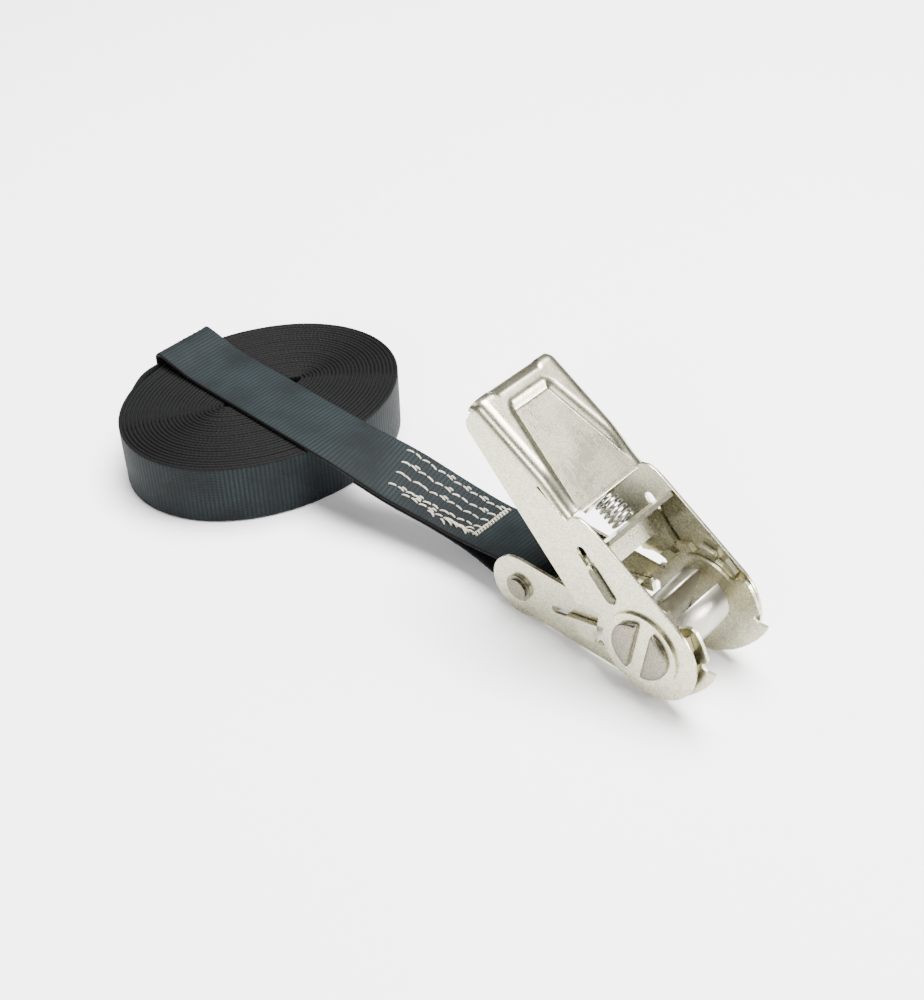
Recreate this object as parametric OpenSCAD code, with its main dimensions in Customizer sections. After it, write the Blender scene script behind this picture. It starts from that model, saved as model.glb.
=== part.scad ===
// Endless ratchet strap: a pressed-steel ratchet buckle with its webbing rolled into a flat coil.
// Origin: middle of the spool axis. +X points away from the anchor bolt, +Y runs along the spool, +Z is up.
// The strap lies on a surface at z = -axle_height, with the handle raised by handle_raised degrees.

/* [Webbing] */
// Width of the webbing
web_w = 25; // [24:0.5:26]
// Thickness of one layer of webbing
web_t = 1.4; // [1:0.1:1.6]
// Half of the coil's length, which lies nearly along the spool's direction
coil_long = 55.4; // [48:0.1:57]
// Half of the coil's width
coil_wide = 42; // [40:0.1:42]

/* [Base] */
// Height of the spool axis above the surface
axle_height = 21.3; // [21.3:0.1:21.8]
// Thickness of the two base plates
base_t = 1.2; // [1:0.1:1.3]
// Distance from the spool axis back to the anchor bolt
anchor_back = 53.6; // [52:0.1:58]
// Radius of the round end that carries the anchor bolt
anchor_end_r = 11.8; // [11:0.1:12]
// Inner radius of the cam edge that the drive pawl rides round
cam_low_r = 15.6; // [15:0.1:16.5]
// Outer radius of the raised stretch of the cam edge
cam_high_r = 22.2; // [21:0.1:22.8]
// Direction of the lock pawl's slot, seen from the near side
lock_dir = 195.2; // [195:0.1:196]

/* [Spool] */
// Radius of the round bar that the two spool halves make up
spool_r = 10.6; // [10:0.1:10.8]
// Width of the slot between the two halves
spool_slot = 7; // [6.5:0.1:7.5]
// Tilt of the slot away from upright
spool_tilt = 8; // [0:1:10]
// Radius of the ratchet wheels at the tips of the teeth
tooth_r = 19.5; // [19:0.1:19.5]
// Radius of the ratchet wheels at the roots of the teeth
root_r = 16.2; // [15.5:0.1:16.4]
// Number of teeth
teeth = 12; // [12:1:12]

/* [Handle] */
// Angle that the handle is raised by from closed
handle_raised = 30; // [0:30:30]
// Overall width of the handle
handle_w = 36; // [35.6:0.1:37]
// Thickness of the handle sheet
handle_t = 1.2; // [1:0.1:1.2]
// Distance from the spool axis to the free end of the grip
grip_end = 89.8; // [85:0.1:95]
// Distance from the spool axis to the lower edge of the grip cover
grip_start = 44.8; // [44.8:0.1:48]
// Height of the grip cover over the spool axis when the handle is closed
grip_top = 19; // [18.5:0.1:19.5]
// Direction of the drive pawl's slot in the closed handle
drive_dir = 165.2; // [165:0.1:166]

/* [Hidden] */
$fn = 96;

steel = "#dcd8c8";
worn_steel = "#c2baac";
webbing_blue = "#2b3a40";
thread_cream = "#e1dac6";

ground = -axle_height;
running_gap = 0.06;
side_gap = 0.2;

// Across the buckle, from the middle outwards
base_in = web_w / 2 + 0.7;
base_out = base_in + base_t;
wheel_in = base_out + side_gap;
wheel_t = 2;
wheel_out = wheel_in + wheel_t;
handle_out = handle_w / 2;
handle_in = handle_out - handle_t;
disc_in = handle_out + 0.05;
disc_t = 1;
disc_r = 13.5;
head_out = disc_in + disc_t + 1.75;

anchor = [-anchor_back, ground + anchor_end_r];
bolt_r = 3;
sleeve_r = 4;
anchor_head_r = 5;
anchor_boss_r = 3.75;
anchor_head_t = 1.2;
anchor_boss_t = 0.9;

// Both pawls rest with their tips just outside the teeth
pawl_tip_r = tooth_r + 0.4;
lock_pawl_t = 2;
lock_slot_start = 17;
lock_slot_end = 41.2;
lock_slot_w = 2.8;
lock_plate_start = 24;
lock_plate_end = 35;
lock_ear_start = 20.5;
lock_ear_end = 33;
lock_lug_start = 22;
lock_lug_end = 29;
lock_lug_drop = 6;
crossweb_start = 44;
drive_pawl_t = 2.4;
drive_slot_start = 16.4;
drive_slot_end = 38;
drive_slot_w = 3.6;
drive_sheet_start = 26;
drive_sheet_end = 34;
drive_ear_start = 19.4;
drive_ear_end = 31.4;
drive_ear_out = 0.9;
spring_wire = 0.9;
lock_spring_r = 3.2;
drive_spring_r = 4;

// Pull flange of the drive pawl, and the tongue of the handle that its spring pushes on
flange_start = 33.8;
flange_t = 1.6;
flange_h = 10.5;
flange_lean = 6;
drive_spring_low = 33.7;
drive_spring_z = 12.5;
tongue_w = 15;
tongue_drop = 11;

// Points of a round stretch of an outline, from angle a0 to angle a1
function arc(c, r, a0, a1, n = 12) =
    [for (i = [0:n]) let (a = a0 + (a1 - a0) * i / n) c + r * [cos(a), sin(a)]];

function polar(r, a) = r * [cos(a), sin(a)];

// Draws flat children in the X-Z plane and gives them the thickness t from y0 towards +Y
module upright(y0, t) {
    translate([0, y0 + t, 0]) rotate([90, 0, 0]) linear_extrude(t) children();
}

// The same on the near side (-1) or the far side (+1), between the distances y_in and y_out
module side_plate(side, y_in, y_out) {
    upright(side < 0 ? -y_out : y_in, y_out - y_in) children();
}

// Turns children drawn along +X to point along the direction dir; their -Z side then faces up
module radial(dir) {
    rotate([0, -dir, 0]) children();
}

// A box given by its two corners
module block(low, high) {
    translate(low) cube(high - low);
}

// A round bar or tube along Y
module bar(c, r, y0, y1, bore = 0) {
    upright(y0, y1 - y0) translate(c) difference() {
        circle(r);
        if (bore > 0) circle(bore);
    }
}

// A radial slot with round ends
module slot(dir, start, end, w) {
    rotate(dir) {
        translate([start + w / 2, -w / 2]) square([end - start - w, w]);
        for (x = [start + w / 2, end - w / 2]) translate([x, 0]) circle(w / 2);
    }
}

// ---------- base ----------

base_foot = 1.6;
base_shoulder = 2.4;

// Edge that guides the drive pawl: low round the back, raised in front, with a notch and a pointed tip
cam_edge = concat(
    [polar(20.6, -62), polar(20.6, -48), polar(20.9, -35), polar(21.6, -24), polar(22.7, -14)],
    [polar(24, -5), polar(25.1, 2), polar(25.1, 4.5), polar(22, 4.5), polar(20.3, 6)],
    [polar(20, 8.5), polar(20.3, 11), polar(22, 13.5), polar(22.5, 16)],
    arc([0, 0], cam_high_r, 22, 42, 6),
    [polar(21.4, 46), polar(19.8, 49), polar(16.6, 51), polar(cam_low_r, 55)],
    arc([0, 0], cam_low_r, 60, 180 - asin(base_shoulder / cam_low_r), 16)
);

module base_outline() {
    foot_z = ground + base_foot;
    end_angle = 360 + asin((foot_z - anchor[1]) / anchor_end_r);
    polygon(concat(
        arc(anchor, anchor_end_r, 90, end_angle, 24),
        arc([0, 0], axle_height, -180 - asin(foot_z / axle_height), -70, 8),
        cam_edge,
        [[-anchor_back + 2, base_shoulder]]
    ));
}

module base_plate(side) {
    color(steel) side_plate(side, base_in, base_out) difference() {
        base_outline();
        circle(spool_r + running_gap);
        translate(anchor) circle(bolt_r + 0.02);
        slot(lock_dir, lock_slot_start, lock_slot_end, lock_slot_w);
        // the slot widens downwards behind the lug
        rotate(lock_dir) polygon([[17.2, 0], [30.5, 0], [29.4, 2], [23, 7.6], [17.2, 8.8]]);
    }
}

module base_plate_near() { base_plate(-1); }
module base_plate_far() { base_plate(1); }

// Plate across the base that the lock pawl's spring pushes against
module base_crossweb() {
    color(steel) radial(lock_dir)
        block([crossweb_start, -base_in, -5], [crossweb_start + base_t, base_in, 5]);
}

module anchor_bolt() {
    color(worn_steel) {
        bar(anchor, bolt_r, -base_out, base_out + anchor_head_t + anchor_boss_t);
        bar(anchor, anchor_head_r, -base_out - anchor_head_t, -base_out);
        bar(anchor, anchor_boss_r, -base_out - anchor_head_t - anchor_boss_t, -base_out - anchor_head_t);
    }
}

module anchor_washer() {
    color(worn_steel) bar(anchor, anchor_head_r, base_out, base_out + anchor_head_t, bolt_r + 0.02);
}

module anchor_sleeve() {
    color(steel) bar(anchor, sleeve_r, 0.1 - base_in, base_in - 0.1, bolt_r + 0.1);
}

// A compression spring, as a tube of its outer size along a radial line
module spring(start, end, r) {
    translate([start, 0, 0]) rotate([0, 90, 0]) difference() {
        cylinder(r = r, h = end - start);
        translate([0, 0, -1]) cylinder(r = r - spring_wire, h = end - start + 2);
    }
}

module lock_spring() {
    color(worn_steel) radial(lock_dir) spring(lock_plate_end + 0.02, crossweb_start - 0.02, lock_spring_r);
}

// ---------- lock pawl ----------

// Children on the near side and on the far side
module both_sides() {
    children();
    mirror([0, 1, 0]) children();
}

module lock_pawl() {
    half_t = lock_pawl_t / 2;
    color(steel) radial(lock_dir) {
        block([lock_plate_start, -13, -half_t], [lock_plate_end, 13, half_t]);
        both_sides() {
            block([lock_ear_start, 12.9, -half_t], [lock_ear_end, wheel_in + 0.2, half_t]);
            block([pawl_tip_r, wheel_in + 0.1, -half_t], [lock_ear_end, wheel_out - 0.1, half_t]);
            block([lock_lug_start, wheel_in + 0.1, 0], [lock_lug_end, wheel_out - 0.1, lock_lug_drop]);
        }
    }
}

// ---------- spool ----------

// Half of a round bar, on one side (-1 or 1) of a slot
module half_moon(side, r, slot_w) {
    rotate(-spool_tilt) intersection() {
        circle(r);
        translate([side * (slot_w / 2 + r), 0]) square(2 * r, center = true);
    }
}

// The bar's riveted heads are spread over the discs, so the slot is narrower between them
module spool_bar(side) {
    head_slot = 5.6;
    shank = disc_in + disc_t;
    color(worn_steel) {
        upright(-shank, 2 * shank) half_moon(side, spool_r, spool_slot);
        for (end = [-1, 1]) side_plate(end, shank, head_out) half_moon(side, spool_r, head_slot);
    }
}

module spool_bar_left() { spool_bar(-1); }
module spool_bar_right() { spool_bar(1); }

// The two keyed holes that fit over the spool halves
module keyed_holes() {
    for (side = [-1, 1]) half_moon(side, spool_r + 0.02, spool_slot - 0.04);
}

// Teeth lean so that the wheel turns one way only: one flank of each gap is steep and one is a ramp
module wheel_outline() {
    flank = 1.45;
    pitch = 360 / teeth;
    polygon([for (k = [0:teeth - 1]) let (g = lock_dir + k * pitch) each [
        polar(tooth_r, g - asin(flank / tooth_r)),
        polar(root_r, g - asin(flank / root_r)),
        polar(root_r, g + asin(flank / root_r)),
        polar(tooth_r - 0.9, g + 10)
    ]]);
}

module ratchet_wheel(side) {
    color(steel) side_plate(side, wheel_in, wheel_out) difference() {
        wheel_outline();
        keyed_holes();
    }
}

module ratchet_wheel_near() { ratchet_wheel(-1); }
module ratchet_wheel_far() { ratchet_wheel(1); }

module spool_disc(side) {
    color(steel) side_plate(side, disc_in, disc_in + disc_t) difference() {
        circle(disc_r);
        keyed_holes();
    }
}

module spool_disc_near() { spool_disc(-1); }
module spool_disc_far() { spool_disc(1); }

// ---------- handle ----------

handle_eye = [1.3, 0.9];
handle_eye_r = 18.7;
handle_shoulder = 20.6;
tip_low = 6;
tip_r = 4;
// Step in the lower edge that leaves the lock pawl's lugs open to view
handle_notch = [[-24.4, -11.4], [-21.4, -7.9], [-17.2, -5.8], [-14.5, -7], [-11.4, -11.7], [-8, -15.1]];

module handle_side_outline() {
    polygon(concat(
        arc(handle_eye, handle_eye_r, -106, 92, 28),
        [[-grip_start + 8, handle_shoulder], [-grip_start + 3, handle_shoulder], [-grip_start, grip_top]],
        arc([-grip_end + tip_r, grip_top - tip_r], tip_r, 90, 180, 6),
        arc([-grip_end + tip_r, tip_low + tip_r], tip_r, 180, 254, 6),
        handle_notch
    ));
}

// Section of the grip across its length, w wide, with its two upper edges rounded
module grip_section(w, top, r) {
    translate([-w / 2, -30]) square([w, 30 + top - r]);
    translate([r - w / 2, -30]) square([w - 2 * r, 30 + top]);
    for (x = [r - w / 2, w / 2 - r]) translate([x, top - r]) circle(r);
}

// The section swept along the grip, between two distances from the spool axis
module grip_sweep(w, top, r, start, end) {
    translate([-end, 0, 0]) rotate([90, 0, 90]) linear_extrude(end - start) grip_section(w, top, r);
}

module handle_stamping() {
    grip_bend = 3;
    color(steel) rotate([0, handle_raised, 0]) {
        // side plates
        for (side = [-1, 1]) side_plate(side, handle_in, handle_out) difference() {
            intersection() {
                handle_side_outline();
                translate([-grip_start, -30]) square([grip_start + 30, 60]);
            }
            circle(spool_r + running_gap);
            slot(drive_dir, drive_slot_start, drive_slot_end, drive_slot_w);
        }
        // grip cover with its two sides
        intersection() {
            upright(-handle_out, 2 * handle_out) handle_side_outline();
            difference() {
                grip_sweep(2 * handle_out, grip_top, grip_bend, grip_start, grip_end);
                grip_sweep(2 * handle_in, grip_top - handle_t, grip_bend - handle_t, grip_start - 1, grip_end + 1);
            }
        }
        // tongue that holds the drive spring
        translate([-grip_start, 0, grip_top - handle_t])
            block([0, -tongue_w / 2, -tongue_drop], [handle_t, tongue_w / 2, handle_t]);
    }
}

module drive_spring() {
    color(worn_steel) rotate([0, handle_raised, 0]) translate([0, 0, drive_spring_z])
        spring(0.05 + handle_t - grip_start, -drive_spring_low, drive_spring_r);
}

module drive_pawl() {
    half_t = drive_pawl_t / 2;
    flange_half_w = handle_in - 0.9;
    color(steel) rotate([0, handle_raised, 0]) radial(drive_dir) {
        block([drive_sheet_start, -wheel_out + 0.1, -half_t], [drive_sheet_end, wheel_out - 0.1, half_t]);
        both_sides() {
            block([pawl_tip_r, wheel_in + 0.1, -half_t], [drive_sheet_end, wheel_out - 0.1, half_t]);
            block([drive_ear_start, wheel_out - 0.3, -half_t], [drive_ear_end, handle_out + drive_ear_out, half_t]);
        }
        translate([flange_start, 0, -half_t]) rotate([0, -flange_lean, 0])
            block([-flange_t / 2, -flange_half_w, -flange_h], [flange_t / 2, flange_half_w, half_t]);
    }
}

// ---------- webbing ----------

coil_centre = [-186.9, -8.7];
coil_turn = 75.1;
band_y = -10.1;

// Oval of four arcs that meet smoothly: two round ends and two flatter sides
module coil_oval() {
    end_r = 36.5;
    reach = coil_long - end_r;
    set_back = (pow(reach, 2) - pow(coil_wide - end_r, 2)) / (2 * (coil_wide - end_r));
    side_r = coil_wide + set_back;
    meet = reach * side_r / (side_r - end_r);
    for (end = [-1, 1]) translate([end * reach, 0]) circle(end_r);
    intersection() {
        square([2 * meet, 4 * coil_wide], center = true);
        translate([0, -set_back]) circle(side_r);
        translate([0, set_back]) circle(side_r);
    }
}

module webbing_coil() {
    color(webbing_blue) translate([coil_centre[0], coil_centre[1], ground])
        rotate(coil_turn) linear_extrude(web_w) coil_oval();
}

// Middle line of the lead: up the coil's wall, across its top and down to the sewn eye
band_z = ground + web_w + 0.2 + web_t / 2;
eye_z = -8.4;
lead_route = [
    [-231.4, band_y, -13], [-231.4, band_y, 2.2], [-230.9, band_y, 4.2], [-229, band_y, 5],
    [-225, band_y, band_z], [-188, band_y, band_z], [-144.5, band_y, band_z], [-140, -9.8, 4.4],
    [-130, -8.3, 2.5], [-122, -6.8, 0.6], [-109, -4.2, -2.6], [-98, -2, -5.2],
    [-84.5, 0, eye_z + web_t / 2]
];

// Unit direction of the route at point i, in the X-Z plane
function heading(p, i) =
    let (d = p[min(i + 1, len(p) - 1)] - p[max(i - 1, 0)]) [d[0], d[2]] / norm([d[0], d[2]]);

// A flat ribbon along the route: low and high are its faces' heights over the route's middle line
module ribbon(p, y_low, y_high, low, high) {
    last = len(p) - 1;
    corners = [[y_low, low], [y_high, low], [y_high, high], [y_low, high]];
    points = [for (i = [0:last]) let (h = heading(p, i)) for (c = corners)
        p[i] + [-h[1] * c[1], c[0], h[0] * c[1]]];
    sides = [for (i = [0:last - 1]) for (k = [0:3])
        [4 * i + k, 4 * i + (k + 1) % 4, 4 * i + 4 + (k + 1) % 4, 4 * i + 4 + k]];
    polyhedron(points, concat([[3, 2, 1, 0]], sides, [[4 * last, 4 * last + 1, 4 * last + 2, 4 * last + 3]]));
}

// Points of the lead between two distances behind the spool axis
function stretch(start, end) = [for (q = lead_route) if (-q[0] >= start - 0.01 && -q[0] <= end + 0.01) q];

module webbing_lead() {
    color(webbing_blue) {
        ribbon(lead_route, -web_w / 2, web_w / 2, -web_t / 2, web_t / 2);
        // second layer, sewn under the first
        ribbon(stretch(84, 128), -web_w / 2, web_w / 2, -web_t * 1.5, -web_t / 2);
    }
}

// Sewn eye round the anchor sleeve
module webbing_eye() {
    eye_in = sleeve_r + 0.3;
    eye_out = eye_in + web_t;
    color(webbing_blue) upright(-web_w / 2, web_w) difference() {
        union() {
            translate(anchor) circle(eye_out);
            polygon([anchor + [-1.5, eye_out - 0.2], [-84.5, eye_z + web_t], [-84.5, eye_z - web_t],
                anchor - [1.5, eye_out - 0.2]]);
        }
        translate(anchor) circle(eye_in);
        polygon([anchor + [-2, eye_in - 0.3], [-80, eye_z + 0.1], [-80, eye_z - 0.1], anchor - [2, eye_in - 0.3]]);
    }
}

// Rows of thread on the overlap
module stitching() {
    color(thread_cream) {
        for (y = [-9, -4.5, 0, 4.5, 9])
            ribbon(stretch(84, 113), y - 0.4, y + 0.4, web_t / 2 + 0.01, web_t / 2 + 0.4);
    }
}

base_plate_near();
base_plate_far();
base_crossweb();
anchor_bolt();
anchor_washer();
anchor_sleeve();
lock_spring();
lock_pawl();
handle_stamping();
drive_spring();
drive_pawl();
spool_bar_left();
spool_bar_right();
ratchet_wheel_near();
ratchet_wheel_far();
spool_disc_near();
spool_disc_far();
webbing_coil();
webbing_lead();
webbing_eye();
stitching();
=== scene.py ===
import bisect
import math
import random

import bmesh
import bpy
from mathutils import Matrix, Vector, noise


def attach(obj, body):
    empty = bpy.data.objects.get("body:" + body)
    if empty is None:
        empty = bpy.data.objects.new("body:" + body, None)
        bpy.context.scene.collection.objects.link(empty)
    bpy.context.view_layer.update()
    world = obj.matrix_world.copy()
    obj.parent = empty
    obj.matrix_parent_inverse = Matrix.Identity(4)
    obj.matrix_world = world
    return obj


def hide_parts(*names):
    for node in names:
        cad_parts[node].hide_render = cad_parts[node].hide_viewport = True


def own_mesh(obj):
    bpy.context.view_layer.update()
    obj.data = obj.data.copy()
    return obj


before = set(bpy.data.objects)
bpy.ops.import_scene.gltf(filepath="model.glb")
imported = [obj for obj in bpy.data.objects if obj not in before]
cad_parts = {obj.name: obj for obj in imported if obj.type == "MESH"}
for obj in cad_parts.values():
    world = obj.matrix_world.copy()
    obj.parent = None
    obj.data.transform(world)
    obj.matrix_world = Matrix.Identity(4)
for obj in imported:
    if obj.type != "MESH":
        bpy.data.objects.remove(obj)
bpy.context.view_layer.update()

MM = 0.001

# Sizes and places below are in mm and in the frame of the CAD part, unless they are named otherwise
GROUND = -21.3
WEB_W = 25.0
WEB_T = 1.2
WEB_LENGTH = 5000.0
BAND_Y = -10.1
BAND_Z = 4.6
ANCHOR = (-53.6, -9.5)
SHEET = 1.2
HANDLE_RAISED = math.radians(30)
LOCK_DIR = 195.2
DRIVE_DIR = 165.2


# ---------- camera, light and floor ----------

def link(obj):
    bpy.context.scene.collection.objects.link(obj)
    return obj


def add_camera():
    azimuth, elevation, roll = math.radians(43.41), math.radians(40.58), -0.026
    back = Vector((
        math.sin(azimuth) * math.cos(elevation),
        -math.cos(azimuth) * math.cos(elevation),
        math.sin(elevation),
    ))
    right = Vector((math.cos(azimuth), math.sin(azimuth), 0))
    up = back.cross(right)
    x = right * math.cos(roll) + up * math.sin(roll)
    y = up * math.cos(roll) - right * math.sin(roll)
    matrix = Matrix((x, y, back)).transposed().to_4x4()
    matrix.translation = Vector((0.2023, -0.3122, 0.3652))
    data = bpy.data.cameras.new("camera")
    data.lens = 58.16
    data.sensor_width = 36
    camera = link(bpy.data.objects.new("camera", data))
    camera.matrix_world = matrix
    bpy.context.scene.camera = camera


def add_area_light(name, place, target, size, power):
    data = bpy.data.lights.new(name, "AREA")
    data.shape = "RECTANGLE"
    data.size = size[0]
    data.size_y = size[1]
    data.energy = power
    light = link(bpy.data.objects.new(name, data))
    light.location = place
    light.rotation_euler = (Vector(place) - Vector(target)).to_track_quat("Z", "Y").to_euler()


def add_stage_plane(name, corners, material):
    mesh = bpy.data.meshes.new(name)
    mesh.from_pydata(corners, [], [(0, 1, 2, 3)])
    plane = link(bpy.data.objects.new(name, mesh))
    mesh.materials.append(material)


def add_studio():
    world = bpy.data.worlds.new("studio")
    bpy.context.scene.world = world
    world.use_nodes = True
    world.node_tree.nodes["Background"].inputs["Color"].default_value = (1, 1, 1, 1)
    world.node_tree.nodes["Background"].inputs["Strength"].default_value = 0.12
    add_area_light("overhead", (-0.05, 0.3, 1.3), (-0.1, 0.05, 0), (1.1, 0.8), 112)
    add_area_light("left_window", (-0.9, -0.35, 0.6), (-0.1, 0, 0), (0.4, 0.4), 3)
    add_area_light("front", (0.25, -0.9, 0.62), (-0.05, 0, 0), (0.3, 0.16), 7)
    add_area_light("right_window", (0.85, 0.55, 0.3), (-0.02, 0, 0.02), (0.4, 0.22), 11)
    z = GROUND * MM - 0.0001
    add_stage_plane("floor", [(-3, -3, z), (3, -3, z), (3, 3, z), (-3, 3, z)], floor_material())


# ---------- materials ----------

class Shader:
    """A Principled material with short ways to add nodes."""

    def __init__(self, name):
        self.material = bpy.data.materials.new(name)
        self.material.use_nodes = True
        self.tree = self.material.node_tree
        self.surface = self.tree.nodes["Principled BSDF"]
        self.heights = []

    def put(self, name, value):
        self.surface.inputs[name].default_value = value

    def node(self, kind, **settings):
        node = self.tree.nodes.new(kind)
        for key, value in settings.items():
            setattr(node, key, value)
        return node

    def join(self, out, into):
        self.tree.links.new(out, into)

    def coordinates(self, kind, scale=(1, 1, 1), turn=(0, 0, 0)):
        source = self.node("ShaderNodeTexCoord")
        mapping = self.node("ShaderNodeMapping")
        mapping.inputs["Scale"].default_value = scale
        mapping.inputs["Rotation"].default_value = turn
        self.join(source.outputs[kind], mapping.inputs["Vector"])
        return mapping.outputs["Vector"]

    def noise(self, at, scale, detail=3, rough=0.55):
        node = self.node("ShaderNodeTexNoise")
        self.join(at, node.inputs["Vector"])
        node.inputs["Scale"].default_value = scale
        node.inputs["Detail"].default_value = detail
        node.inputs["Roughness"].default_value = rough
        return node.outputs["Fac"]

    def between(self, fac, low, high):
        node = self.node("ShaderNodeMapRange")
        self.join(fac, node.inputs["Value"])
        node.inputs["From Min"].default_value = 0.3
        node.inputs["From Max"].default_value = 0.7
        node.inputs["To Min"].default_value = low
        node.inputs["To Max"].default_value = high
        return node.outputs["Result"]

    def mix(self, fac, a, b):
        node = self.node("ShaderNodeMix", data_type="RGBA")
        self.join(fac, node.inputs["Factor"])
        for socket, value in ((node.inputs[6], a), (node.inputs[7], b)):
            if isinstance(value, tuple):
                socket.default_value = value
            else:
                self.join(value, socket)
        return node.outputs[2]

    def ramp(self, fac, low, high):
        node = self.node("ShaderNodeMapRange")
        self.join(fac, node.inputs["Value"])
        node.inputs["From Min"].default_value = low
        node.inputs["From Max"].default_value = high
        return node.outputs["Result"]

    def colour(self, out):
        self.join(out, self.surface.inputs["Base Color"])

    def roughness(self, out):
        self.join(out, self.surface.inputs["Roughness"])

    def bump(self, height, distance, strength=1.0):
        node = self.node("ShaderNodeBump")
        node.inputs["Distance"].default_value = distance
        node.inputs["Strength"].default_value = strength
        self.join(height, node.inputs["Height"])
        if self.heights:
            self.join(self.heights[-1], node.inputs["Normal"])
        self.heights.append(node.outputs["Normal"])
        self.join(node.outputs["Normal"], self.surface.inputs["Normal"])


def metal_material(name, light, dark, stain, smooth, rough, grain):
    """Plated steel: mottled fine grain, faint stains, dull scuffs and rub streaks."""
    s = Shader(name)
    s.put("Metallic", 1.0)
    at = s.coordinates("Object")
    speckle = s.noise(at, 1700, 3, 0.6)
    cloud = s.noise(at, 90, 1, 0.4)
    stains = s.noise(at, 45, 5, 0.6)
    streaks = s.noise(s.coordinates("Object", (90, 500, 500)), 1, 2)
    base = s.mix(s.ramp(speckle, 0.42, 0.6), dark, light)
    base = s.mix(s.ramp(stains, 0.56, 0.78), base, stain)
    s.colour(base)
    wear = s.node("ShaderNodeMath", operation="ADD")
    s.join(s.between(cloud, smooth, rough), wear.inputs[0])
    s.join(s.between(streaks, -0.015, 0.02), wear.inputs[1])
    s.roughness(wear.outputs[0])
    s.bump(cloud, 0.00002, 0.3)
    s.bump(speckle, grain, 0.6)
    return s.material


def bar_material(name):
    """Spool bar and anchor bolt: polished bright by rubbing between the plates, dull and darker on the
    riveted heads.
    """
    material = metal_material(
        name, (0.235, 0.215, 0.165, 1), (0.14, 0.125, 0.095, 1), (0.12, 0.10, 0.07, 1),
        0.24, 0.42, 0.00008,
    )
    tree = material.node_tree
    surface = tree.nodes["Principled BSDF"]
    worn = surface.inputs["Base Color"].links[0].from_socket
    source = tree.nodes.new("ShaderNodeTexCoord")
    split = tree.nodes.new("ShaderNodeSeparateXYZ")
    off = tree.nodes.new("ShaderNodeMath")
    off.operation = "ABSOLUTE"
    head = tree.nodes.new("ShaderNodeMapRange")
    head.inputs["From Min"].default_value = 0.0146
    head.inputs["From Max"].default_value = 0.0152
    mix = tree.nodes.new("ShaderNodeMix")
    mix.data_type = "RGBA"
    mix.inputs[6].default_value = (0.46, 0.44, 0.37, 1)
    tree.links.new(source.outputs["Object"], split.inputs[0])
    tree.links.new(split.outputs["Y"], off.inputs[0])
    tree.links.new(off.outputs[0], head.inputs["Value"])
    tree.links.new(head.outputs["Result"], mix.inputs["Factor"])
    tree.links.new(worn, mix.inputs[7])
    tree.links.new(mix.outputs[2], surface.inputs["Base Color"])
    return material


def webbing_material(name, lit, shade, gloss):
    """Woven polyester: rounded ribs across, fine yarns along them, fuzz, and painted light and shade:
    patches between the lit and shaded tones, shaded rib valleys and lit fuzz specks.
    """
    s = Shader(name)
    uv = s.coordinates("UV")
    at = s.coordinates("Object")
    s.put("Specular IOR Level", 0.12)
    s.put("Sheen Weight", 0.03)
    s.put("Sheen Roughness", 0.4)
    wave = s.node("ShaderNodeTexWave", wave_type="BANDS", bands_direction="X")
    s.join(uv, wave.inputs["Vector"])
    wave.inputs["Scale"].default_value = 196
    wave.inputs["Distortion"].default_value = 0.35
    wave.inputs["Detail"].default_value = 1
    yarn = s.node("ShaderNodeTexWave", wave_type="BANDS", bands_direction="Y")
    s.join(uv, yarn.inputs["Vector"])
    yarn.inputs["Scale"].default_value = 420
    yarn.inputs["Distortion"].default_value = 1.2
    yarn.inputs["Detail"].default_value = 2
    fuzz = s.noise(at, 3200, 3, 0.7)
    # Painted light and shade: the patches mix the lit and shaded tones, the rib valleys take the shaded tone
    # and the fuzz specks take the lit tone.
    light_and_shade_patches = s.noise(at, 60, 4)
    base = s.mix(s.ramp(light_and_shade_patches, 0.3, 0.72), shade, lit)
    low = s.mix(s.ramp(wave.outputs["Fac"], 0.0, 0.8), shade, base)
    face = s.mix(s.ramp(fuzz, 0.5, 0.9), low, lit)
    split = s.node("ShaderNodeSeparateXYZ")
    s.join(uv, split.inputs[0])
    off = s.node("ShaderNodeMath", operation="ABSOLUTE")
    s.join(split.outputs["Y"], off.inputs[0])
    selvedge = s.mix(s.ramp(fuzz, 0.35, 0.8), (0.0005, 0.0004, 0.0004, 1), (0.0026, 0.0021, 0.0019, 1))
    s.colour(s.mix(s.ramp(off.outputs[0], 0.0118, 0.0122), face, selvedge))
    s.roughness(s.between(fuzz, gloss, gloss + 0.22))
    s.bump(wave.outputs["Fac"], 0.00010, 0.7)
    s.bump(yarn.outputs["Fac"], 0.00008, 0.7)
    s.bump(fuzz, 0.00008, 0.8)
    return s.material


def thread_material():
    s = Shader("thread")
    at = s.coordinates("Object")
    twist = s.node("ShaderNodeTexWave", wave_type="BANDS", bands_direction="DIAGONAL")
    s.join(at, twist.inputs["Vector"])
    twist.inputs["Scale"].default_value = 700
    twist.inputs["Distortion"].default_value = 1.5
    fuzz = s.noise(at, 2600)
    soiled = s.noise(at, 180, 4)
    cream = s.mix(s.ramp(soiled, 0.42, 0.75), (0.58, 0.54, 0.44, 1), (0.30, 0.27, 0.21, 1))
    # Painted shade: the twist's grooves get a darker colour than the cream thread.
    s.colour(s.mix(s.ramp(twist.outputs["Fac"], 0.0, 0.6), (0.30, 0.28, 0.23, 1), cream))
    s.roughness(s.between(fuzz, 0.55, 0.85))
    s.bump(twist.outputs["Fac"], 0.00015, 0.8)
    s.bump(fuzz, 0.00006, 0.7)
    return s.material


def floor_material():
    s = Shader("floor")
    at = s.coordinates("Object")
    s.colour(s.mix(s.noise(at, 9), (0.93, 0.93, 0.93, 1), (0.95, 0.95, 0.95, 1)))
    s.roughness(s.between(s.noise(at, 300), 0.6, 0.75))
    return s.material


# ---------- meshes ----------

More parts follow.
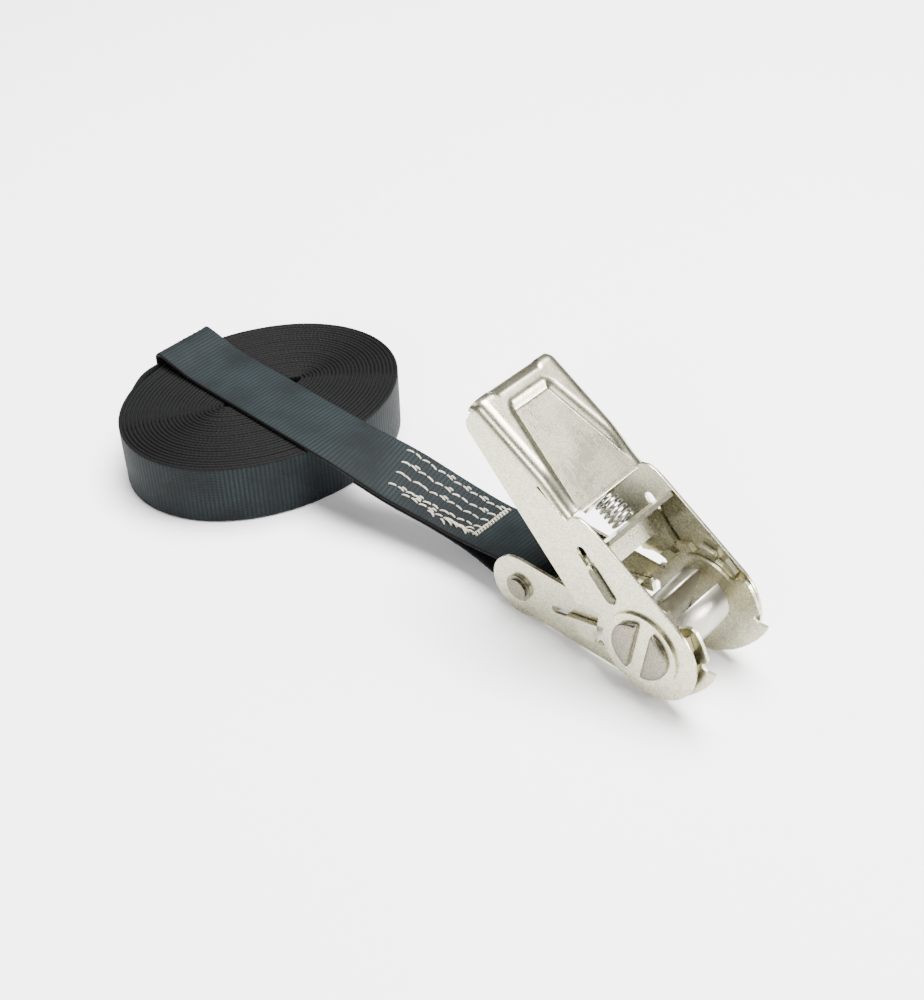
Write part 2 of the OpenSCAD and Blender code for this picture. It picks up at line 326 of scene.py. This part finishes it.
def add_mesh(name, points, faces, material, smooth=True):
    mesh = bpy.data.meshes.new(name)
    mesh.from_pydata([Vector(p) * MM for p in points], [], faces)
    mesh.materials.append(material)
    if smooth:
        mesh.polygons.foreach_set("use_smooth", [True] * len(mesh.polygons))
    mesh.validate()
    mesh.update()
    return link(bpy.data.objects.new(name, mesh))


def soften(obj, width, segments=2, angle=40):
    """Rounds the sharp edges of a sheet-metal piece."""
    bevel = obj.modifiers.new("bevel", "BEVEL")
    bevel.width = width * MM
    bevel.segments = segments
    bevel.limit_method = "ANGLE"
    bevel.angle_limit = math.radians(angle)


def joined_rings(count, per_ring):
    """Faces of a tube made of rings of points, with its ends capped."""
    faces = []
    for i in range(count - 1):
        for j in range(per_ring):
            k = (j + 1) % per_ring
            faces.append((
                i * per_ring + j, i * per_ring + k,
                (i + 1) * per_ring + k, (i + 1) * per_ring + j,
            ))
    faces.append(tuple(reversed(range(per_ring))))
    faces.append(tuple((count - 1) * per_ring + j for j in range(per_ring)))
    return faces


def tube(path, radius, sides):
    """Points and faces of a round tube along a path."""
    points = []
    side = None
    for i, p in enumerate(path):
        ahead = Vector(path[min(i + 1, len(path) - 1)]) - Vector(path[max(i - 1, 0)])
        ahead.normalize()
        if side is None:
            side = ahead.orthogonal().normalized()
        side = (side - ahead * side.dot(ahead)).normalized()
        other = ahead.cross(side)
        for k in range(sides):
            a = 2 * math.pi * k / sides
            points.append(Vector(p) + radius * (side * math.cos(a) + other * math.sin(a)))
    return points, joined_rings(len(path), sides)


def add_tubes(name, paths, radius, material, sides):
    points, faces = [], []
    for path in paths:
        more, new = tube(path, radius, sides)
        faces += [tuple(n + len(points) for n in face) for face in new]
        points += more
    return add_mesh(name, points, faces, material)


# ---------- handle ----------

def polar(r, degrees):
    return (r * math.cos(math.radians(degrees)), r * math.sin(math.radians(degrees)))


def arc(centre, r, start, end, steps):
    found = []
    for i in range(steps + 1):
        x, y = polar(r, start + (end - start) * i / steps)
        found.append((centre[0] + x, centre[1] + y))
    return found


def slot_outline(direction, start, end, width):
    half = width / 2
    points = arc((end - half, 0), half, -90, 90, 12) + arc((start + half, 0), half, 90, 270, 12)
    c, s = polar(1, direction)
    return [(x * c - y * s, x * s + y * c) for x, y in points]


def raise_handle(p):
    """A point of the closed handle, turned about the spool axis to where the handle rests."""
    x, y, z = p
    c, s = math.cos(HANDLE_RAISED), math.sin(HANDLE_RAISED)
    return (x * c + z * s, y, z * c - x * s)


def add_plate(name, outlines, y_low, y_high, bevel, material):
    """A plate in the handle's plane with holes, from a filled curve that is then turned upright."""
    curve = bpy.data.curves.new(name, "CURVE")
    curve.dimensions = "2D"
    curve.fill_mode = "BOTH"
    curve.extrude = (y_high - y_low) / 2 * MM - bevel * MM
    curve.bevel_depth = bevel * MM
    curve.bevel_resolution = 2
    curve.offset = -bevel * MM
    for outline in outlines:
        spline = curve.splines.new("POLY")
        spline.points.add(len(outline) - 1)
        for point, (x, z) in zip(spline.points, outline):
            point.co = (x * MM, z * MM, 0, 1)
        spline.use_cyclic_u = True
    source = link(bpy.data.objects.new(name + "_curve", curve))
    bpy.context.view_layer.update()
    mesh = bpy.data.meshes.new_from_object(source.evaluated_get(bpy.context.evaluated_depsgraph_get()))
    bpy.data.objects.remove(source)
    middle = (y_low + y_high) / 2
    for v in mesh.vertices:
        v.co = Vector(raise_handle((v.co.x, middle * MM - v.co.z, v.co.y)))
    mesh.materials.clear()
    mesh.materials.append(material)
    plate = link(bpy.data.objects.new(name, mesh))
    tidy_mesh(plate)
    return plate


def tidy_mesh(obj):
    """Joins doubled points and makes the faces look outwards."""
    made = bmesh.new()
    made.from_mesh(obj.data)
    bmesh.ops.remove_doubles(made, verts=made.verts, dist=1e-6)
    bmesh.ops.dissolve_degenerate(made, edges=made.edges, dist=1e-7)
    bmesh.ops.recalc_face_normals(made, faces=made.faces)
    made.to_mesh(obj.data)
    made.free()


GRIP_END = 91.0
GRIP_START = 44.8
GRIP_TOP = 19.0
HANDLE_OUT = 18.0
HANDLE_IN = HANDLE_OUT - SHEET
HANDLE_EYE = (1.3, 0.9)
HANDLE_EYE_R = 18.7
SPOOL_HOLE_R = 10.66
RECESS_DEPTH = 2.0
RECESS_END = 86.0
RECESS_RAMP = 4.6
RECESS_WALL = 3.2
HANDLE_NOTCH = [(-24.4, -11.4), (-21.4, -7.9), (-17.2, -5.8), (-14.5, -7), (-11.4, -11.7), (-8, -15.1)]


def side_plate_outline():
    """Side of the handle below the cover: a round eye that runs out to the slim end of the grip."""
    points = arc(HANDLE_EYE, HANDLE_EYE_R, -106, 92, 44)
    points += [(-GRIP_START + 9, 20.5), (-GRIP_START + 5, 20.3), (-GRIP_START + 2.2, 19.4)]
    points += [(-GRIP_START + 0.4, 17.6), (-GRIP_START - 1, 15.9), (-90.4, 15.9)]
    points += [(-90.4, 12.0)] + arc((-86.2, 10), 4, 165, 254, 8) + HANDLE_NOTCH
    return points


def clamp(t):
    return min(1.0, max(0.0, t))


def smooth_step(t):
    t = clamp(t)
    return t * t * (3 - 2 * t)


def cover_height(x, y):
    """Height of the pressed cover at a point of the closed handle, with its tapered recess and thumb lip."""
    top = GRIP_TOP
    along = -x
    half = 9.2 + (83 - along) * 0.19
    ramp = clamp((RECESS_END - along) / RECESS_RAMP)
    inside = clamp((half + RECESS_WALL / 2 - abs(y)) / RECESS_WALL)
    top -= RECESS_DEPTH * smooth_step(clamp(1 - math.hypot(1 - ramp, 1 - inside)))
    lip_half = 9.6 + (along - 88) * 0.7
    lip = smooth_step((lip_half + 0.6 - abs(y)) / 1.2)
    top -= lip * max(0.0, along - 88.0) * 0.75
    top -= 0.9 * smooth_step((along - 88.6) / 2.4) * (1 - lip)
    return top


def cover_section(x):
    """Outer line of the cover across the grip, from the near side to the far side."""
    bend = 3.2
    proud = 0.015
    points = [(-HANDLE_OUT - proud, z) for z in (15.5, 15.65)]
    crown = HANDLE_OUT - bend
    edge = cover_height(x, crown)
    for i in range(9):
        a = math.radians(180 - 90 * i / 8)
        y = -crown + bend * math.cos(a)
        z = edge - bend + bend * math.sin(a)
        points.append((y - proud * (1 - i / 8), z))
    steps = 64
    for i in range(1, steps):
        y = -crown + 2 * crown * i / steps
        points.append((y, cover_height(x, y)))
    mirrored = [(-y, z) for y, z in reversed(points[:11])]
    return points + mirrored


def add_grip_cover(material):
    """The pressed cover as one bent sheet, curled down at the end of the grip."""
    stations = [GRIP_START + (GRIP_END - GRIP_START) * i / 110 for i in range(111)]
    outer = []
    for along in stations:
        curl = max(0.0, along - 89.6)
        row = []
        for y, z in cover_section(-along):
            row.append((-along, y, z - 0.25 * curl * curl))
        outer.append(row)
    wide = len(outer[0])
    points = [raise_handle(p) for row in outer for p in row]
    faces = []
    for i in range(len(outer) - 1):
        for j in range(wide - 1):
            a = i * wide + j
            faces.append((a, a + wide, a + wide + 1, a + 1))
    cover = add_mesh("grip_cover", points, faces, material)
    solid = cover.modifiers.new("sheet", "SOLIDIFY")
    solid.thickness = SHEET * MM
    solid.offset = -1
    soften(cover, 0.3, 2, 60)
    return cover


def add_tongue(material):
    """The cover's middle runs down into a tongue with bevelled corners that holds the drive spring."""
    front = -GRIP_START - 0.2
    outline = [(-14.6, 18.2), (-12.4, 16.2), (-8.6, 15.2), (-6.8, 8.8), (-5.6, 7.9)]
    outline += [(-y, z) for y, z in reversed(outline)]
    points, faces = [], []
    for face_x in (front, front + SHEET):
        for y, z in outline:
            lean = (18.2 - z) * 0.04
            points.append(raise_handle((face_x + lean, y, z)))
    n = len(outline)
    faces.append(tuple(range(n)))
    faces.append(tuple(reversed(range(n, 2 * n))))
    for j in range(n):
        k = (j + 1) % n
        faces.append((j, j + n, k + n, k))
    tongue = add_mesh("grip_tongue", points, faces, material, smooth=False)
    tidy_mesh(tongue)
    soften(tongue, 0.3)
    return tongue


def add_handle(material):
    holes = [arc((0, 0), SPOOL_HOLE_R, 0, 357, 90), slot_outline(DRIVE_DIR, 16.4, 38, 3.6)]
    outlines = [side_plate_outline()] + holes
    pieces = [
        add_plate("handle_side_near", outlines, -HANDLE_OUT, -HANDLE_IN, 0.18, material),
        add_plate("handle_side_far", outlines, HANDLE_IN, HANDLE_OUT, 0.18, material),
        add_grip_cover(material),
        add_tongue(material),
    ]
    for piece in pieces:
        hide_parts("handle_stamping")
        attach(piece, "handle")


def add_pawl_pads(material):
    """Rounded outer pads of the drive pawl's two ears, which stand proud of the handle's slots."""
    turn = math.radians(DRIVE_DIR)
    outline = arc((28.9, 0), 2.2, -90, 90, 12) + arc((18.9, 0), 2.2, 90, 270, 12)
    for side, name in ((-1, "drive_pad_near"), (1, "drive_pad_far")):
        points = []
        for inset, y in ((0, 18.06), (0, 18.3), (0.25, 18.6), (0.7, 18.85), (1.3, 19.0), (1.9, 19.05)):
            for along, n in outline:
                x = 23.9 + (along - 23.9) * (1 - inset / 7.2)
                up = n * (1 - inset / 2.2)
                points.append(raise_handle((
                    x * math.cos(turn) + up * math.sin(turn),
                    side * y,
                    x * math.sin(turn) - up * math.cos(turn),
                )))
        pad = add_mesh(name, points, joined_rings(6, len(outline)), material)
        tidy_mesh(pad)
        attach(pad, "drive_pawl")


SPOOL_TILT = math.radians(-8)
DOME = [(21.15, 0.45), (21.05, 0.72), (20.75, 0.88), (20.3, 0.97), (19.8, 1.0), (19.1, 1.0)]


def bar_outline(side, r, gap):
    """Half of a round bar beside the slot, with its two corners rounded."""
    start = math.degrees(math.asin(gap / 2 / r))
    line = [Vector(p) for p in arc((0, 0), r, start - 90, 90 - start, 16)]
    line += [Vector((gap / 2, r * 0.55)), Vector((gap / 2, 0)), Vector((gap / 2, -r * 0.55))]
    for _ in range(2):
        cut = []
        for i, a in enumerate(line):
            b = line[(i + 1) % len(line)]
            cut += [a * 0.75 + b * 0.25, a * 0.25 + b * 0.75]
        line = cut
    c, s = math.cos(SPOOL_TILT), math.sin(SPOOL_TILT)
    return [(side * x * c - z * s, side * x * s + z * c) for x, z in line]


def add_spool_bar(name, side, material):
    """Half of the slotted bar, worn round by webbing, with a domed riveted head at each end."""
    head = bar_outline(side, 10.75, 5.0)
    shank = bar_outline(side, 10.62, 7.0)
    middle = Vector((side * 6.4, side * -0.9))
    stations = [(-y, share, head) for y, share in DOME] + [(-19.06, 1.0, shank)]
    stations += [(-y, k, outline) for y, k, outline in reversed(stations)]
    points = []
    for y, k, outline in stations:
        for x, z in outline:
            points.append((middle.x + (x - middle.x) * k, y, middle.y + (z - middle.y) * k))
    bar = add_mesh(name + "_domed", points, joined_rings(len(stations), len(head)), material)
    tidy_mesh(bar)
    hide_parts(name)
    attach(bar, "spool")


# ---------- springs ----------

def coil_spring(start, end, r, wire, turns):
    """Middle line of a compression spring with closed ends, along X from start to end."""
    path = []
    steps = int(turns * 26)
    for i in range(steps + 1):
        t = i / steps
        closed = 0.09
        if t < closed:
            along = wire / 2 + t * 0.25 * (end - start)
        elif t > 1 - closed:
            along = end - start - wire / 2 - (1 - t) * 0.25 * (end - start)
        else:
            first = wire / 2 + closed * 0.25 * (end - start)
            along = first + (t - closed) / (1 - 2 * closed) * (end - start - 2 * first)
        a = 2 * math.pi * turns * t
        path.append((start + along, (r - wire / 2) * math.cos(a), (r - wire / 2) * math.sin(a)))
    return path


def add_drive_spring(material):
    path = [(x, y, z + 12.5) for x, y, z in coil_spring(-43.5, -33.5, 4.3, 1.15, 5.2)]
    path = [raise_handle(p) for p in path]
    spring = add_tubes("drive_spring_coil", [path], 0.575, material, 10)
    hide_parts("drive_spring")
    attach(spring, "handle")
    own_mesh(spring)


def add_lock_spring(material):
    turn = math.radians(LOCK_DIR)
    path = []
    for x, y, z in coil_spring(35.05, 43.95, 3.2, 0.9, 5.5):
        path.append((x * math.cos(turn) - z * math.sin(turn), y, x * math.sin(turn) + z * math.cos(turn)))
    spring = add_tubes("lock_spring_coil", [path], 0.45, material, 10)
    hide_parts("lock_spring")
    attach(spring, "base")
    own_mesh(spring)


# ---------- webbing ----------

LEAD = [
    (-84.5, 0, -7.7), (-98, -2, -5.2), (-109, -4.2, -2.6), (-122, -6.8, 0.6), (-130, -8.3, 2.5),
    (-138, -9.5, 4.0), (-146, -10.1, 4.55), (-160, BAND_Y, BAND_Z), (-190, BAND_Y, BAND_Z),
    (-207, BAND_Y, BAND_Z), (-214, BAND_Y, 5.0), (-220, BAND_Y, 6.1), (-225, BAND_Y, 7.2),
]
WALL_X = -231.4
FOLD_R = 0.7
COIL_CENTRE = Vector((-186.9, -8.7))
COIL_TURN = math.radians(75.1)
COIL_START = math.radians(108.7)
COIL_LONG = 54.7
COIL_WIDE = 41.4
PITCH = 1.5
RIB = 1.6


def rounded_path(points, step, rounds=3):
    """A corner-cut and evenly spaced copy of a line of points."""
    line = [Vector(p) for p in points]
    for _ in range(rounds):
        cut = [line[0]]
        for a, b in zip(line, line[1:]):
            cut += [a * 0.75 + b * 0.25, a * 0.25 + b * 0.75]
        line = cut + [line[-1]]
    lengths = [0.0]
    for a, b in zip(line, line[1:]):
        lengths.append(lengths[-1] + (b - a).length)
    count = max(2, round(lengths[-1] / step))
    even = []
    for i in range(count + 1):
        at = lengths[-1] * i / count
        k = min(len(line) - 2, max(0, bisect.bisect_right(lengths, at) - 1))
        span = lengths[k + 1] - lengths[k]
        even.append(line[k].lerp(line[k + 1], (at - lengths[k]) / span if span > 0 else 0))
    return even


def front_line():
    """Middle line of the webbing from its cut end, round the anchor sleeve and over the coil to the fold."""
    under = 1.45  # from the upper layer's middle down to the lower layer's
    line = [(-128.5, -8.1, 2.1 - under), (-120, -6.4, 0.1 - under), (-109, -4.2, -2.6 - under)]
    line += [(-98, -2, -5.2 - under), (-86, -0.2, -7.9 - under), (-76, 0, -10.6), (-66, 0, -13.3)]
    ax, az = ANCHOR
    loop = 4.85
    for i in range(13):
        a = math.radians(-104 + 208 * i / 12)
        line.append((ax + loop * math.cos(a), 0, az + loop * math.sin(a)))
    line += [(-66, 0, -5.3), (-76, 0, -6.8)]
    line += LEAD
    rim_r = 2.6
    cx, cz = WALL_X + rim_r, 5.2
    for i in range(9):
        a = math.radians(90 + 90 * i / 8)
        line.append((cx + rim_r * math.cos(a), BAND_Y, cz + rim_r * math.sin(a)))
    line += [(WALL_X, BAND_Y, 3), (WALL_X, BAND_Y, -40)]
    return rounded_path(line, 0.4, 2)


class Webbing:
    """Places a point of the flat webbing, given its distance along, across and above the middle."""

    def __init__(self):
        full = front_line()
        self.fold_z = GROUND + WEB_W / 2 + math.pi * FOLD_R / math.sqrt(2)
        lengths = [0.0]
        for a, b in zip(full, full[1:]):
            lengths.append(lengths[-1] + (b - a).length)
        last = max(i for i, p in enumerate(full) if p.x > -229)
        below = next(i for i in range(last, len(full)) if full[i].z <= self.fold_z)
        self.line = full
        self.lengths = lengths
        self.fold_s = lengths[below]
        self.fold_c = Vector((WALL_X, BAND_Y, self.fold_z))
        self.make_coil()

    def make_coil(self):
        self.coil_points = []
        self.coil_s = []
        s = self.fold_s + 4.8 + math.pi * FOLD_R / math.sqrt(2)
        before = None
        i = 0
        while s < WEB_LENGTH + 4:
            turned = math.radians(2.0) * i
            angle = COIL_START + turned
            inward = PITCH * turned / (2 * math.pi)
            a, b = COIL_LONG - inward, COIL_WIDE - inward
            local = Vector((a * math.cos(angle), b * math.sin(angle)))
            c, d = math.cos(COIL_TURN), math.sin(COIL_TURN)
            p = COIL_CENTRE + Vector((local.x * c - local.y * d, local.x * d + local.y * c))
            if before is not None:
                s += (p - before).length
            self.coil_points.append(p)
            self.coil_s.append(s)
            before = p
            i += 1

    def on_line(self, s):
        k = min(len(self.line) - 2, max(0, bisect.bisect_right(self.lengths, s) - 1))
        f = (s - self.lengths[k]) / (self.lengths[k + 1] - self.lengths[k])
        p = self.line[k].lerp(self.line[k + 1], f)
        t = self.line[min(k + 2, len(self.line) - 1)] - self.line[max(k - 1, 0)]
        return p, t.normalized()

    def front(self, s, w, n):
        """Before the fold, with a slight twist where the lead hangs between the coil and the buckle."""
        p, t = self.on_line(s)
        across = Vector((0, 1, 0))
        normal = t.cross(across).normalized()
        across = normal.cross(t)
        hang = math.exp(-((p.x + 116) / 14) ** 2)
        roll = math.radians(6) * hang * (1 if normal.z < 0 else -1)
        wide = across * math.cos(roll) - normal * math.sin(roll)
        up = normal * math.cos(roll) + across * math.sin(roll)
        return p + wide * w + up * n

    def folded(self, s, w, n):
        past = s - self.fold_s
        along = (w - past) / math.sqrt(2)
        q = (w + past) / math.sqrt(2)
        line = Vector((0, 1, 1)) / math.sqrt(2)
        ahead = Vector((0, 1, -1)) / math.sqrt(2)
        inward = Vector((1, 0, 0))
        round_ = math.pi * FOLD_R
        if q <= 0:
            place, lift, normal = q, 0.0, inward
        elif q < round_:
            a = q / FOLD_R
            place, lift = FOLD_R * math.sin(a), FOLD_R * (1 - math.cos(a))
            normal = inward * math.cos(a) - ahead * math.sin(a)
        else:
            place, lift, normal = round_ - q, 2 * FOLD_R, -inward
        return self.fold_c + line * along + ahead * place + inward * lift + normal * n

    def rolled(self, s, w, n):
        """On edge in the coil. The turns stand a little unevenly."""
        k = min(len(self.coil_s) - 2, max(0, bisect.bisect_right(self.coil_s, s) - 1))
        f = (s - self.coil_s[k]) / (self.coil_s[k + 1] - self.coil_s[k])
        p = self.coil_points[k].lerp(self.coil_points[k + 1], f)
        t = (self.coil_points[k + 1] - self.coil_points[max(k - 1, 0)]).normalized()
        out = Vector((t.y, -t.x))
        stand = 0.22 * noise.noise(Vector((s / 95, 3.1, 0))) + 0.1 * noise.noise(Vector((s / 21, 8.7, 0)))
        sway = 0.09 * noise.noise(Vector((s / 33, 1.7, w / 9)))
        z = GROUND + WEB_W / 2 + w * 0.985 + stand
        side = out * (n + sway)
        return Vector((p.x + side.x, p.y + side.y, z))

    def place(self, s, w, n):
        past = s - self.fold_s
        if past + w <= 0:
            return self.front(s, w, n)
        if past < 16:
            return self.folded(s, w, n)
        mixed = smooth_step((past - 16) / 16)
        if mixed >= 1:
            return self.rolled(s, w, n)
        return self.folded(s, w, n).lerp(self.rolled(s, w, n), mixed)


def section():
    """Points across the webbing's section: (across, above, how far the ribs lift it)."""
    half_w, half_t = WEB_W / 2, WEB_T / 2
    across = [-0.965, -0.87, -0.7, -0.5, -0.3, -0.1, 0.1, 0.3, 0.5, 0.7, 0.87, 0.965]
    upper = [(half_w * a, half_t, 1.0) for a in across]
    right = [(half_w * 0.992, half_t * 0.6, 0.4), (half_w, 0, 0), (half_w * 0.992, -half_t * 0.6, 0.4)]
    lower = [(w, -h, r) for w, h, r in reversed(upper)]
    left = [(-w, -h, r) for w, h, r in right]
    return upper + right + lower + left


def webbing_rings(web):
    """Where the rings of points lie along the webbing, and how far each is sheared to follow the fold."""
    close_until = web.fold_s + 300
    rings = []
    s = 0.0
    while s < WEB_LENGTH:
        past = s - web.fold_s
        shear = smooth_step((past + 28) / 26) * (1 - smooth_step((past - 5) / 26))
        rings.append((s, -shear))
        s += RIB / 4 if s < close_until else 2.0
    return rings


def add_webbing(material):
    web = Webbing()
    ring = section()
    points, faces, uv = [], [], []
    rings = webbing_rings(web)
    for s, shear in rings:
        fine = s < web.fold_s + 300
        for w, h, ribbing in ring:
            at = s + shear * w
            wave = math.cos(2 * math.pi * at / RIB) if fine else 0.3
            flat = 1 - clamp(-2.5 * shear)
            lift = 0.085 * wave * ribbing * flat
            edge = 0.08 * wave * flat if abs(w) > WEB_W * 0.495 else 0.0
            wide = w + math.copysign(edge, w)
            points.append(web.place(at, wide, h + math.copysign(lift, h)))
            uv.append((at * MM, w * MM))
    faces = joined_rings(len(rings), len(ring))
    webbing = add_mesh("webbing_strip", points, faces, material)
    layer = webbing.data.uv_layers.new(name="along_and_across")
    for loop in webbing.data.loops:
        layer.data[loop.index].uv = uv[loop.vertex_index]
    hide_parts("webbing_coil", "webbing_lead", "webbing_eye")
    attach(webbing, "webbing")
    return webbing, web


# ---------- stitching ----------

def lead_distance(web, x):
    """Distance along the webbing of the upper layer where it crosses the height line at x."""
    for i in range(1, len(web.line)):
        a, b = web.line[i - 1], web.line[i]
        if a.x > x >= b.x:
            return web.lengths[i - 1] + (a.x - x) / (a.x - b.x) * (web.lengths[i] - web.lengths[i - 1])
    raise ValueError("no such point on the lead")


def stitch_path(web, a, b, bulge):
    """One visible stitch on the upper layer, from a to b as (x, y), rising out of and into the weave."""
    path = []
    for i in range(7):
        t = i / 6
        x = a[0] + (b[0] - a[0]) * t
        y = a[1] + (b[1] - a[1]) * t
        s = lead_distance(web, x)
        rise = -(WEB_T / 2 + 0.02 + bulge * math.sin(math.pi * t)) + (0.25 if i in (0, 6) else 0)
        middle = web.on_line(s)[0].y
        path.append(web.front(s, y - middle, rise))
    return path


def stitches(web):
    """Rows of zigzag lockstitch, a dense bar across their end and a tangle of loose thread at one side."""
    rng = random.Random(5)
    rows = [((-121, 3.6), (-81, 9.0)), ((-119.8, -1.6), (-81, 4.6)), ((-118.8, -6.4), (-81, 0.8))]
    rows += [((-118.2, -11.8), (-81, -3.2)), ((-112, -11.8), (-81, -7.0))]
    paths = []
    for start, end in rows:
        count = round((end[0] - start[0]) / 3.4)
        for i in range(count):
            t0, t1 = (i + 0.05) / count, (i + 0.80) / count
            zig = 0.32 if i % 2 else -0.32
            shift = rng.uniform(-0.15, 0.15)
            a = (start[0] + (end[0] - start[0]) * t0, start[1] + (end[1] - start[1]) * t0 + zig + shift)
            b = (start[0] + (end[0] - start[0]) * t1, start[1] + (end[1] - start[1]) * t1 - zig + shift)
            paths.append(stitch_path(web, a, b, 0.22))
            if rng.random() < 0.35:
                c = (a[0] + 1.2, a[1] + 0.85)
                paths.append(stitch_path(web, c, (c[0] + rng.uniform(1.4, 2.2), c[1] + 0.1), 0.2))
    for i in range(13):
        y = -7.8 + 17.2 * i / 12
        paths.append(stitch_path(web, (-80.9 + rng.uniform(-0.3, 0.3), y), (-79.4, y + 0.9), 0.42))
        if i < 12:
            paths.append(stitch_path(web, (-79.2, y + 0.2), (-80.9, y + 1.2), 0.5))
    for i in range(16):
        x = -101 + 18 * rng.random()
        y = -10.6 + 3.2 * (x + 101) / 18 + rng.uniform(-1.1, 1.1)
        length = rng.uniform(2.2, 4.6)
        turn = rng.uniform(-0.5, 0.7)
        end = (x + length * math.cos(turn), y + length * math.sin(turn) * 0.7)
        paths.append(stitch_path(web, (x, y), end, rng.uniform(0.3, 0.8)))
    return paths


def add_stitching(web, material):
    thread = add_tubes("stitch_thread", stitches(web), 0.34, material, 7)
    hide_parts("stitching")
    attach(thread, "webbing")
    return thread


# ---------- steel parts taken from the frame ----------

def dress_frame(sheet, bar):
    """Gives the frame's own steel parts a finish and rounds their edges."""
    finishes = {
        "base_plate_near": (sheet, 0.2), "base_plate_far": (sheet, 0.2), "base_crossweb": (sheet, 0.2),
        "lock_pawl": (sheet, 0.4), "drive_pawl": (sheet, 0.45),
        "ratchet_wheel_near": (sheet, 0.2), "ratchet_wheel_far": (sheet, 0.2),
        "spool_disc_near": (sheet, 0.2), "spool_disc_far": (sheet, 0.2),
        "anchor_bolt": (bar, 0.35), "anchor_washer": (bar, 0.2), "anchor_sleeve": (bar, 0.1),
    }
    for name, (material, width) in finishes.items():
        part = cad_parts[name]
        part.data.materials.clear()
        part.data.materials.append(material)
        soften(part, width, 4 if width > 0.3 else 2)


def build():
    add_camera()
    add_studio()
    sheet = metal_material(
        "zinc_plated_sheet", (0.60, 0.575, 0.43, 1), (0.41, 0.39, 0.28, 1), (0.47, 0.435, 0.28, 1),
        0.26, 0.30, 0.00004,
    )
    bar = bar_material("plain_steel_bar")
    # Painted shade: the drive pawl's pads get a much darker sheet than the plated sheet, standing in for the
    # shade on the proud pads.
    pad_shade_metal = metal_material(
        "pawl_pad_painted_shade", (0.15, 0.14, 0.095, 1), (0.08, 0.075, 0.05, 1), (0.10, 0.09, 0.06, 1),
        0.24, 0.4, 0.00005,
    )
    spring = metal_material(
        "spring_steel", (0.50, 0.49, 0.46, 1), (0.38, 0.37, 0.35, 1), (0.33, 0.31, 0.27, 1),
        0.18, 0.32, 0.00003,
    )
    dress_frame(sheet, bar)
    add_handle(sheet)
    add_pawl_pads(pad_shade_metal)
    add_spool_bar("spool_bar_left", -1, bar)
    add_spool_bar("spool_bar_right", 1, bar)
    add_drive_spring(spring)
    add_lock_spring(spring)
    cloth = webbing_material("webbing", (0.0105, 0.0170, 0.0190, 1), (0.0022, 0.0032, 0.0036, 1), 0.55)
    webbing, web = add_webbing(cloth)
    thread = add_stitching(web, thread_material())


build()
